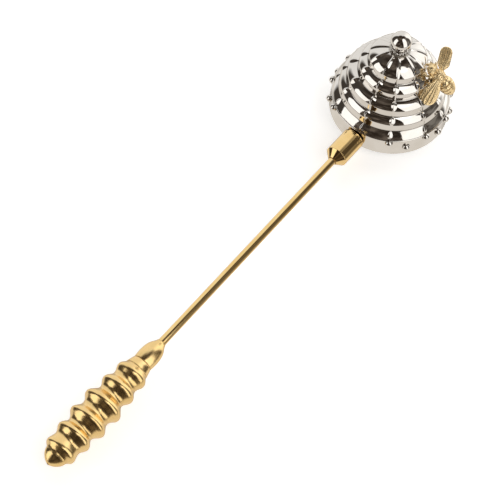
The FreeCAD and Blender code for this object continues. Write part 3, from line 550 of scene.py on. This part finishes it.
cv, cf = turn(fillet([(35.3, 1.72, 0), (35.3, 2.75, 0.1), (35.75, 3.0, 0.12), (36.3, 2.62, 0.12), (36.3, 1.72, 0)], 4),
              "Z", 128, True)
# painted shade over the whole collar ring
allv, allf, shade_amount = [cv], [list(x) for x in cf], [np.full(len(cv), 0.45)]
NB = 16
for i in range(NB):
    t = 2 * math.pi * (i + 0.5) / NB
    prof = [(-0.52 * math.cos(math.pi * k / 14), 0.52 * math.sin(math.pi * k / 14)) for k in range(15)]
    prof[0], prof[-1] = (-0.52, 0.0), (0.52, 0.0)
    bv, bf = turn(prof, "Z", 24, False, (2.92 * math.cos(t), 2.92 * math.sin(t), 35.82))
    n0 = sum(len(x) for x in allv)
    allv.append(bv)
    allf += [[n0 + b for b in fc] for fc in bf]
    # painted shade on the lower half of each bead
    shade_amount.append(np.clip((35.75 - bv[:, 2]) * 1.5, 0, 0.7))
make("finial_bead_ring", np.vstack(allv), allf, NICKEL, ("finial_collar",), np.concatenate(shade_amount), sharp=60)

# ---------------------------------------------------------------------------
# Handle
# ---------------------------------------------------------------------------
AX = (0, 0, 3.3)
ferr = fillet([(22.62, 1.51, 0), (22.62, 2.2, 0), (24.02, 2.2, 0), (24.02, 4.02, 0.12), (24.5, 4.57, 0.3), (35.8, 4.57, 0.22),
               (38.4, 1.95, 0.14), (38.4, 1.61, 0.05), (32.38, 1.61, 0), (32.38, 1.51, 0)], 6)
# painted shade in the bore and on the end that meets the hive
lathe("ferrule_turned", ferr, "X", 160, BRASS, ("ferrule",), closed=True, centre=AX, sharp=50,
      painted_shade=lambda u, r: np.where((r < 1.9) & (u > 24), 0.85, 0.0) + np.where(u < 24.2, 0.5, 0.0))

rodp = [(32.4, 0.0), (32.4, 1.34), (32.65, 1.5875), (33.0, 1.5875)] + \
       [(33.0 + 136.5 * k / 60.0, 1.5875) for k in range(1, 61)] + [(169.75, 1.5875), (170.0, 1.34), (170.0, 0.0)]
# painted shade where the rod goes into the ferrule
lathe("rod_drawn", rodp, "X", 72, BRASS, ("handle_rod",), centre=AX, sharp=40, wobble=0.012,
      painted_shade=lambda u, r: np.clip(1 - np.abs(u - 38.5) / 0.8, 0, 0.8))

neck = [(141.2, 1.61), (141.2, 1.80)] + spline([(141.22, 1.84), (141.8, 2.02), (142.7, 2.55), (143.7, 3.12), (144.8, 3.55),
        (146.2, 3.86), (147.8, 4.01), (149.4, 4.02), (150.6, 3.94), (151.55, 3.82)]) + \
       [(151.72, 3.78), (151.80, 3.62), (152.0, 3.60), (152.0, 1.61)]
# painted shade in the groove and end face next to the grip, and on the narrow end round the rod
lathe("grip_bullet", neck, "X", 144, GRIPB, ("grip_neck",), closed=True, centre=AX, sharp=50,
      painted_shade=lambda u, r: np.clip(1 - np.abs(u - 151.9) / 0.25, 0, 0.7) + np.clip(1 - (u - 141.2) / 0.35, 0, 0.6) * (r < 2.2))

g = [(170.3, 0.0), (170.3, 1.61), (152.02, 1.61), (152.02, 3.62), (152.1, 3.85)]
g += spline([(152.15, 3.95), (152.9, 4.18), (153.9, 4.42), (155.0, 4.72)])
g += spline([(155.15, 4.62), (155.7, 4.95), (156.5, 5.55), (157.3, 6.02), (158.0, 6.12), (158.8, 5.95), (159.5, 5.62),
             (160.4, 5.22), (161.5, 5.08), (162.4, 5.30), (163.1, 5.80), (163.8, 6.34), (164.5, 6.70), (165.2, 6.78),
             (166.0, 6.52), (166.8, 6.02), (167.6, 5.48), (168.6, 5.20), (169.6, 5.42), (170.4, 6.02), (171.2, 6.70),
             (172.1, 7.42), (173.0, 7.74), (173.9, 7.52), (174.7, 6.84), (175.5, 6.20), (176.4, 5.82), (177.3, 5.76),
             (178.2, 6.02), (179.0, 6.55), (179.8, 7.12), (180.6, 7.56), (181.3, 7.56), (182.1, 7.15), (182.9, 6.42),
             (183.8, 5.68), (184.8, 5.32), (185.7, 5.52), (186.5, 6.12), (187.3, 6.66), (188.1, 6.90), (188.9, 6.72),
             (189.7, 6.26), (190.6, 5.70), (191.6, 5.44), (192.5, 5.58), (193.4, 5.84), (194.2, 6.10), (195.0, 6.14),
             (195.6, 5.96), (196.1, 5.46), (196.6, 4.90), (197.15, 4.52), (197.8, 4.34), (198.5, 4.06), (199.2, 3.58),
             (199.9, 2.94), (200.5, 2.22), (200.95, 1.50), (201.2, 0.95), (201.3, 0.70)])
g += [(201.38, 0.58), (201.4, 0.5), (201.33, 0.42), (200.9, 0.36), (200.4, 0.0)]


def grip_shade(u, r):
    # painted shade in the valleys between the lobes, in the small hollow at the tip, and in the bore and inner end face
    v_ = np.zeros_like(u)
    for c in (155.08, 161.5, 168.6, 177.1, 184.8, 191.6, 197.1):
        v_ = np.maximum(v_, np.clip(1 - np.abs(u - c) / 0.7, 0, 1) * 0.16)
    v_ = np.where((u > 200.3) & (r < 0.52), 0.95, v_)
    return np.where(u < 152.2, 0.6, v_)


lathe("grip_turned", g, "X", 200, GRIPB, ("grip",), centre=AX, sharp=60, painted_shade=grip_shade)

# ---------------------------------------------------------------------------
# Bee: one casting (head, eyes, thorax, banded abdomen, legs) and two veined wings
# ---------------------------------------------------------------------------
A = math.radians(105.5)
RHO = np.array([math.cos(A), math.sin(A), 0.0])
TAN = np.array([-math.sin(A), math.cos(A), 0.0])
UPV = np.array([0.0, 0.0, 1.0])


def at(reach, side, height):
    return RHO * reach + TAN * side + UPV * height


def unit(v_):
    v_ = np.asarray(v_, float)
    return v_ / np.linalg.norm(v_)


class Lump:
    def __init__(self):
        self.v, self.f, self.n = [], [], 0

    def add(self, v_, f_):
        self.v.append(v_)
        self.f += [[self.n + b for b in q] for q in f_]
        self.n += len(v_)

    def oval(self, centre, along, out, a, b, c, taper=0.0, seg=48):
        """Half-axes a along, b across, c outwards; taper narrows the far end."""
        x = unit(along)
        z = unit(np.asarray(out) - x * np.dot(out, x))
        y = np.cross(z, x)
        prof = [(-math.cos(math.pi * k / 32), math.sin(math.pi * k / 32)) for k in range(33)]
        prof[0], prof[-1] = (-1.0, 0.0), (1.0, 0.0)
        v_, f_ = turn(prof, "X", seg, False)
        s_ = 1 - taper * np.clip(v_[:, 0], -1, 1)
        w = np.array(centre) + v_[:, :1] * a * x + (v_[:, 1:2] * b * s_[:, None]) * y + (v_[:, 2:3] * c * s_[:, None]) * z
        self.add(w, f_)

    def tube(self, pts, radii, seg=16):
        """Round limb along points, with domed ends."""
        pts = [np.asarray(p, float) for p in pts]
        P = []
        R = []
        m_ = len(pts)
        for i in range(m_ - 1):
            for k in range(6):
                t = k / 6.0
                p0 = pts[max(0, i - 1)]
                p1, p2 = pts[i], pts[i + 1]
                p3 = pts[min(m_ - 1, i + 2)]
                q = 0.5 * ((2 * p1) + (-p0 + p2) * t + (2 * p0 - 5 * p1 + 4 * p2 - p3) * t * t + (-p0 + 3 * p1 - 3 * p2 + p3) * t ** 3)
                P.append(q)
                R.append(radii[i] + (radii[i + 1] - radii[i]) * t)
        P.append(pts[-1])
        R.append(radii[-1])
        P = np.array(P)
        ref = unit(np.cross(P[-1] - P[0], np.array([0.3, 0.5, 0.8])))
        rings = []
        for i in range(len(P)):
            d = unit(P[min(i + 1, len(P) - 1)] - P[max(i - 1, 0)])
            x = unit(ref - d * np.dot(ref, d))
            y = np.cross(d, x)
            th = np.arange(seg) * 2 * math.pi / seg
            rings.append(P[i] + R[i] * (np.cos(th)[:, None] * x + np.sin(th)[:, None] * y))
        v_ = np.vstack(rings + [P[:1] - unit(P[1] - P[0]) * R[0] * 0.6, P[-1:] + unit(P[-1] - P[-2]) * R[-1] * 0.6])
        f_ = grid_faces(len(P), seg, False).tolist()
        n = len(P) * seg
        f_ += [[n, (j + 1) % seg, j] for j in range(seg)]
        b = (len(P) - 1) * seg
        f_ += [[n + 1, b + j, b + (j + 1) % seg] for j in range(seg)]
        self.add(v_, f_)


THX = at(16.9, 0.0, 27.8)
HEAD = at(13.9, -0.5, 30.9)
AB0 = at(19.9, 0.4, 24.6)
AB1 = at(21.9, 0.7, 22.0)
OUT = RHO * 0.80 + UPV * 0.60
ab_dir = unit(AB1 - AB0)
ab_mid = AB0 * 0.55 + AB1 * 0.45
b_ = Lump()
b_.oval(THX, HEAD - THX, OUT, 3.05, 2.9, 2.8)
b_.oval(HEAD, HEAD - THX, OUT, 1.85, 2.15, 1.8)
for sd in (-1, 1):
    b_.oval(HEAD + TAN * 1.45 * sd + UPV * 0.45 + RHO * 0.15, UPV, TAN, 1.15, 0.8, 0.8)
    b_.tube([HEAD + UPV * 1.0 + TAN * 0.6 * sd + RHO * 0.7, HEAD + UPV * 1.9 + TAN * 1.2 * sd + RHO * 0.9,
             HEAD + UPV * 2.2 + TAN * 2.1 * sd + RHO * 0.5], [0.36, 0.30, 0.38])
b_.oval(ab_mid, ab_dir, OUT, 4.55, 3.15, 3.0, 0.14)
b_.tube([THX, AB0], [1.9, 1.9])
b_.tube([THX, HEAD], [1.4, 1.4])
b_.tube([at(14.95, 0, 24.0), at(18.6, 0, 24.0)], [1.25, 1.3], 32)


def foot(radius, swing, height):
    t = math.radians(swing)
    return (radius * math.cos(t), radius * math.sin(t), height)


for sd in (-1, 1):
    for p0, p1, p2, hip in (((15.4, 1.6, 28.8), (14.3, 3.1, 29.6), foot(12.15, 12, 29.3), 0.55),
                            ((16.2, 1.9, 27.2), (15.6, 3.3, 26.6), foot(14.9, 14, 26.15), 0.58),
                            ((17.4, 1.8, 25.6), (17.0, 3.3, 24.6), foot(16.55, 15, 23.25), 0.60)):
        q0, q1, q2 = [at(p[0], p[1] * sd, p[2]) for p in (p0, p1, p2)]
        mid = (q1 + q2) / 2 + unit(q1 - THX) * 0.35
        b_.tube([q0, (q0 + q1) / 2 + UPV * 0.25, q1, mid, q2], [hip, hip * 0.92, hip * 0.98, hip * 0.78, hip * 0.66])
        b_.oval(q2 + unit(q2 - q1) * 0.1, q2 - q1, UPV, 0.85, 0.62, 0.5)

me = bpy.data.meshes.new("bee_raw")
me.from_pydata(np.vstack(b_.v).tolist(), [], b_.f)
raw = bpy.data.objects.new("bee_raw", me)
scene.collection.objects.link(raw)
import bmesh
bm = bmesh.new()
bm.from_mesh(me)
bmesh.ops.recalc_face_normals(bm, faces=bm.faces)
bm.to_mesh(me)
bm.free()
md = raw.modifiers.new("r", "REMESH")
md.mode = "VOXEL"
md.voxel_size = 0.10
md = raw.modifiers.new("s", "SMOOTH")
md.factor = 0.5
md.iterations = 5
bpy.context.view_layer.update()
dg = bpy.context.evaluated_depsgraph_get()
bm_ = bpy.data.meshes.new_from_object(raw.evaluated_get(dg))
bpy.data.objects.remove(raw)
n = len(bm_.vertices)
co = np.zeros(n * 3)
bm_.vertices.foreach_get("co", co)
co = co.reshape(-1, 3)
no = np.zeros(n * 3)
bm_.vertices.foreach_get("normal", no)
no = no.reshape(-1, 3)
polys = [list(p.vertices) for p in bm_.polygons]


def fibonacci(k):
    i = np.arange(k) + 0.5
    ph = np.arccos(1 - 2 * i / k)
    th = math.pi * (1 + 5 ** 0.5) * i
    return np.stack([np.cos(th) * np.sin(ph), np.sin(th) * np.sin(ph), np.cos(ph)], 1)


def pits(centre, radius, count, size):
    """1 at the middle of each punched dot on a globe of that radius, falling to 0 at its edge."""
    d = co - centre
    L_ = np.linalg.norm(d, axis=1)
    u = d / L_[:, None]
    F_ = fibonacci(count)
    best = np.full(len(co), -1.0)
    for s0 in range(0, len(co), 20000):
        best[s0:s0 + 20000] = (u[s0:s0 + 20000] @ F_.T).max(1)
    ang = np.arccos(np.clip(best, -1, 1)) * radius / size
    return np.clip(1 - ang * ang, 0, 1)


d_th = np.linalg.norm(co - THX, axis=1)
d_hd = np.linalg.norm(co - HEAD, axis=1)
s_ab = (co - ab_mid) @ ab_dir
r_ab = np.linalg.norm((co - ab_mid) - s_ab[:, None] * ab_dir, axis=1)
on_th = (d_th < 3.35) & (d_th < d_hd + 0.9) & (s_ab < -2.0)
on_ab = (s_ab > -3.6) & (s_ab < 5.0) & (r_ab < 3.9) & (r_ab > 0.2) & ~((d_th < 3.1))
near_wall = ((co @ RHO) < 17.2) & (co[:, 2] < 26.0)
on_ab &= ~near_wall
shift = np.zeros(n)
shade_amount = np.zeros(n)
p = pits(THX, 2.9, 120, 0.33)
shift -= np.where(on_th, 0.20 * p, 0)
# painted shade in the punched dots on the thorax
shade_amount = np.maximum(shade_amount, np.where(on_th, np.clip(p * 1.5, 0, 0.85), 0))
bands = 0.5 + 0.5 * np.cos(2 * math.pi * (s_ab + 0.25) / 1.75)
groove = np.clip(1 - ((1 - bands) * 5.0), 0, 1)
shift += np.where(on_ab, 0.10 - 0.30 * groove, 0)
# painted shade in the grooves between the abdomen's bands
shade_amount = np.maximum(shade_amount, np.where(on_ab, groove * 0.8, 0))
q = pits(ab_mid, 3.4, 170, 0.26)
shift -= np.where(on_ab & (groove < 0.2), 0.11 * q, 0)
# painted shade in the punched dots on the abdomen's bands
shade_amount = np.maximum(shade_amount, np.where(on_ab & (groove < 0.2), q * 0.55, 0))
grain = np.array([noise.noise(Vector(c * 1.9)) for c in co])
shift += 0.035 * grain
# painted shade: the junctions between the casting's masses are darker
neck_d = np.abs(d_th - 2.95) + np.abs(d_hd - 1.9)
shade_amount = np.maximum(shade_amount, np.clip(0.8 - neck_d * 0.9, 0, 0.7))
co2 = co + no * shift[:, None]
make("bee_casting", co2, polys, CAST, ("bee_body",), shade_amount)


def wing(name, root, tip, normal, node, length, width, cup, veins, flare):
    """Veined paddle with a rounded end: ridges along it on the outside, a thick rolled edge, a slightly cupped blade."""
    x = unit(tip - root)
    z = unit(np.asarray(normal) - x * np.dot(normal, x))
    y = np.cross(z, x)
    ns, nt = 120, 64
    s_ = np.linspace(0, 1, ns)
    half = width / 2 * np.clip(0.30 + 0.70 * np.sin(np.clip(s_ * flare, 0, 1) * math.pi / 2) ** 1.2, 0, 1)
    end = np.clip((s_ - 0.70) / 0.30, 0, 1)
    half = half * np.sqrt(np.clip(1 - end ** 2.5, 0.0004, 1))
    t_ = np.linspace(-1, 1, nt)
    S_, T2 = np.meshgrid(s_, t_, indexing="ij")
    HW = half[:, None]
    px = S_ * length
    py = T2 * HW
    ridge = np.zeros_like(px)
    for c, w_ in veins:
        dist = np.abs(T2 - c * (0.25 + 0.75 * S_)) * HW
        ridge = np.maximum(ridge, np.exp(-(dist / w_) ** 2))
    fade = np.clip((1 - np.abs(T2)) * 4, 0, 1) * np.clip((1 - S_) * 6, 0, 1)
    edge = np.exp(-(((1 - np.abs(T2)) * HW) / 0.42) ** 2) + np.exp(-(((1 - S_) * length) / 0.55) ** 2)
    dots = np.zeros_like(px)
    for i in range(ns):
        for j in range(nt):
            dots[i, j] = noise.noise(Vector((px[i, j] * 2.6, py[i, j] * 2.6, 7.0)))
    thick = 0.34 * np.sqrt(np.clip(1 - T2 ** 8, 0, 1)) * np.sqrt(np.clip(1 - np.clip(S_, 0, 1) ** 24, 0, 1)) + 0.015
    bend = -cup * (T2 * HW) ** 2 - 0.010 * (S_ * length) ** 2
    top = thick + (0.20 * ridge * fade + 0.16 * np.clip(edge, 0, 1) * np.clip(thick / 0.34, 0, 1) + 0.09 * dots * fade * (1 - ridge))
    bot = -thick - 0.05 * ridge * fade
    def put(h):
        return root + px[..., None] * x + py[..., None] * y + (h + bend)[..., None] * z
    a = put(top).reshape(-1, 3)
    b = put(bot).reshape(-1, 3)
    V_ = np.vstack([a, b])
    n_ = ns * nt
    F = []
    for i in range(ns - 1):
        for j in range(nt - 1):
            k = i * nt + j
            F.append([k, k + 1, k + nt + 1, k + nt])
            F.append([n_ + k, n_ + k + nt, n_ + k + nt + 1, n_ + k + 1])
    for i in range(ns - 1):
        k = i * nt
        F.append([k, k + nt, n_ + k + nt, n_ + k])
        k = i * nt + nt - 1
        F.append([k, n_ + k, n_ + k + nt, k + nt])
    for j in range(nt - 1):
        F.append([j, n_ + j, n_ + j + 1, j + 1])
        k = (ns - 1) * nt + j
        F.append([k, k + 1, n_ + k + 1, n_ + k])
    # painted shade between the veins and in the low spots of the stippling, lighter on the raised spots and near the
    # rolled edge
    rc = np.clip(0.34 * (1 - ridge) * fade * np.clip(1 - edge, 0, 1) - 0.4 * dots * fade, 0, 0.6)
    # painted shade over the whole underside
    rc = np.concatenate([rc.reshape(-1), np.full(n_, 0.3)])
    return make(name, V_, F, CAST, (node,), rc)


root_l = THX + RHO * 0.6 + UPV * 0.7 - TAN * 1.6
root_r = THX + RHO * 0.3 + UPV * 1.0 + TAN * 2.4
wing("wing_near", root_l, root_l - TAN * 8.2 - UPV * 7.4 - RHO * 1.1, RHO * 0.50 - TAN * 0.60 + UPV * 0.62, "bee_wing_left",
     11.3, 6.9, 0.040, [(-0.55, 0.32), (0.05, 0.32), (0.55, 0.26)], 1.5)
wing("wing_far", root_r, root_r + TAN * 8.3 + UPV * 4.6 - RHO * 0.9, RHO * 0.25 - TAN * 0.45 + UPV * 0.86, "bee_wing_right",
     9.6, 5.0, 0.040, [(-0.66, 0.18), (-0.22, 0.20), (0.22, 0.20), (0.66, 0.18)], 3.4)

# ---------------------------------------------------------------------------
# CAD pieces that stay as they are: inner hardware
# ---------------------------------------------------------------------------
for nm in ("finial_washer", "finial_nut", "bee_washer", "bee_nut", "ferrule_screw"):
    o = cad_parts[nm]
    if o.data.materials:
        for i in range(len(o.data.materials)):
            o.data.materials[i] = STEEL
    else:
        o.data.materials.append(STEEL)

# ---------------------------------------------------------------------------
# Studio: pale floor, soft boxes, pale backdrop behind and a dim room in front
# ---------------------------------------------------------------------------
fl = bpy.data.materials.new("floor_white")
nt, N, L = nodes_of(fl)
out = N.new("ShaderNodeOutputMaterial")
pr = N.new("ShaderNodeBsdfPrincipled")
pr.inputs["Base Color"].default_value = (0.90, 0.895, 0.885, 1)
pr.inputs["Roughness"].default_value = 0.85
pr.inputs["Emission Color"].default_value = (1.0, 0.995, 0.985, 1)
pr.inputs["Emission Strength"].default_value = 0.62
L.new(pr.outputs["BSDF"], out.inputs["Surface"])
me = bpy.data.meshes.new("floor")
S = 3.0
zf = -0.00455
me.from_pydata([(-S, -S, zf), (S, -S, zf), (S, S, zf), (-S, S, zf)], [], [(0, 1, 2, 3)])
me.materials.append(fl)
floor = bpy.data.objects.new("floor", me)
scene.collection.objects.link(floor)
floor.visible_glossy = False

world = bpy.data.worlds.new("studio")
scene.world = world
world.use_nodes = True
nt = world.node_tree
nt.nodes.clear()
N, L = nt.nodes, nt.links
wo = N.new("ShaderNodeOutputWorld")
tex = N.new("ShaderNodeTexCoord")


def math_node(op, a, b=None, c=None):
    n_ = N.new("ShaderNodeMath")
    n_.operation = op
    for i, x in enumerate((a, b, c)):
        if x is None:
            continue
        if isinstance(x, (int, float)):
            n_.inputs[i].default_value = x
        else:
            L.new(x, n_.inputs[i])
    return n_.outputs[0]


def dot(vec):
    n_ = N.new("ShaderNodeVectorMath")
    n_.operation = "DOT_PRODUCT"
    L.new(tex.outputs["Generated"], n_.inputs[0])
    n_.inputs[1].default_value = vec
    return n_.outputs["Value"]


def step(x, lo, hi):
    n_ = N.new("ShaderNodeMapRange")
    n_.interpolation_type = "SMOOTHSTEP"
    n_.inputs["From Min"].default_value = lo
    n_.inputs["From Max"].default_value = hi
    L.new(x, n_.inputs["Value"])
    return n_.outputs["Result"]


VA = math.radians(26.0)
front = dot((math.cos(VA), math.sin(VA), 0.0))
side = dot((-math.sin(VA), math.cos(VA), 0.0))
height = dot((0.0, 0.0, 1.0))
flat = math_node("SQRT", math_node("ADD", math_node("MULTIPLY", front, front), math_node("MULTIPLY", side, side)))
rise = math_node("ARCTAN2", height, flat)
round_ = math_node("ABSOLUTE", math_node("ARCTAN2", side, front))
# pale backdrop behind, up to about fifty degrees
edge_el = math_node("MULTIPLY_ADD", round_, 0.35, math.radians(8.0))
lower = step(math_node("SUBTRACT", edge_el, rise), math.radians(-5.0), math.radians(5.0))
wide = step(round_, math.radians(112.0), math.radians(122.0))
behind = math_node("MULTIPLY", lower, wide)
# grey walls to the sides
walls = math_node("MULTIPLY", step(round_, math.radians(72.0), math.radians(84.0)),
                  step(math_node("MULTIPLY", rise, -1.0), math.radians(-75.0), math.radians(-45.0)))
# warm white table, its edge in shade on the front side
table = step(math_node("MULTIPLY", rise, -1.0), math.radians(19.0), math.radians(27.0))


def blend_colour(fac, a, b):
    n_ = N.new("ShaderNodeMix")
    n_.data_type = "RGBA"
    L.new(fac, n_.inputs["Factor"])
    for key, x in (("A", a), ("B", b)):
        if isinstance(x, tuple):
            n_.inputs[key].default_value = (*x, 1)
        else:
            L.new(x, n_.inputs[key])
    return n_.outputs["Result"]


murk = N.new("ShaderNodeTexNoise")
murk.inputs["Scale"].default_value = 2.6
murk.inputs["Detail"].default_value = 3.0
L.new(tex.outputs["Generated"], murk.inputs["Vector"])
room = blend_colour(step(murk.outputs["Fac"], 0.40, 0.72), (0.030, 0.022, 0.016), (0.150, 0.122, 0.098))
room = blend_colour(walls, room, blend_colour(step(side, -0.05, 0.05), (0.060, 0.051, 0.043),
                                       blend_colour(step(murk.outputs["Fac"], 0.42, 0.62), (0.075, 0.065, 0.056), (0.24, 0.222, 0.20))))
room = blend_colour(behind, room, blend_colour(step(side, 0.05, 0.60), (0.96, 0.955, 0.945), (1.45, 1.44, 1.42)))
# small lamp high on the right
lamp = step(dot((0.136, 0.42, 0.897)), 0.966, 0.990)
room = blend_colour(lamp, room, (1.5, 1.48, 1.44))
room = blend_colour(table, room, (0.86, 0.815, 0.755))
# the table just behind the object is in its shade
shade = step(dot((-0.64 * math.cos(VA), -0.64 * math.sin(VA), -0.77)), 0.80, 0.99)
room = blend_colour(math_node("MULTIPLY", shade, 0.62), room, (0.26, 0.235, 0.205))
bg = N.new("ShaderNodeBackground")
L.new(room, bg.inputs["Color"])
bg.inputs["Strength"].default_value = 1.0
bg2 = N.new("ShaderNodeBackground")
bg2.inputs["Color"].default_value = (1, 1, 1, 1)
lp = N.new("ShaderNodeLightPath")
mx = N.new("ShaderNodeMixShader")
L.new(lp.outputs["Is Camera Ray"], mx.inputs["Fac"])
L.new(bg.outputs[0], mx.inputs[1])
L.new(bg2.outputs[0], mx.inputs[2])
L.new(mx.outputs[0], wo.inputs["Surface"])


def softbox(name, az, el, dist, w, h, radiance, roll=0.0):
    """Rectangular softbox facing the object, at that azimuth and elevation."""
    d = Vector((math.cos(math.radians(az)) * math.cos(math.radians(el)),
                math.sin(math.radians(az)) * math.cos(math.radians(el)), math.sin(math.radians(el))))
    li = bpy.data.lights.new(name, "AREA")
    li.shape = "RECTANGLE"
    li.size = w
    li.size_y = h
    li.energy = radiance * math.pi * w * h
    li.color = (1.0, 0.995, 0.985)
    ob = bpy.data.objects.new(name, li)
    scene.collection.objects.link(ob)
    ob.location = d * dist + Vector((0.0, 0.0, 0.02))
    ob.rotation_euler = d.to_track_quat("Z", "Y").to_euler()
    ob.visible_camera = False
    return ob


softbox("box_left", -37.0, 12.0, 1.6, 0.90, 1.80, 1.35)
softbox("box_right", 76.0, 22.0, 0.50, 0.345, 0.83, 1.35)
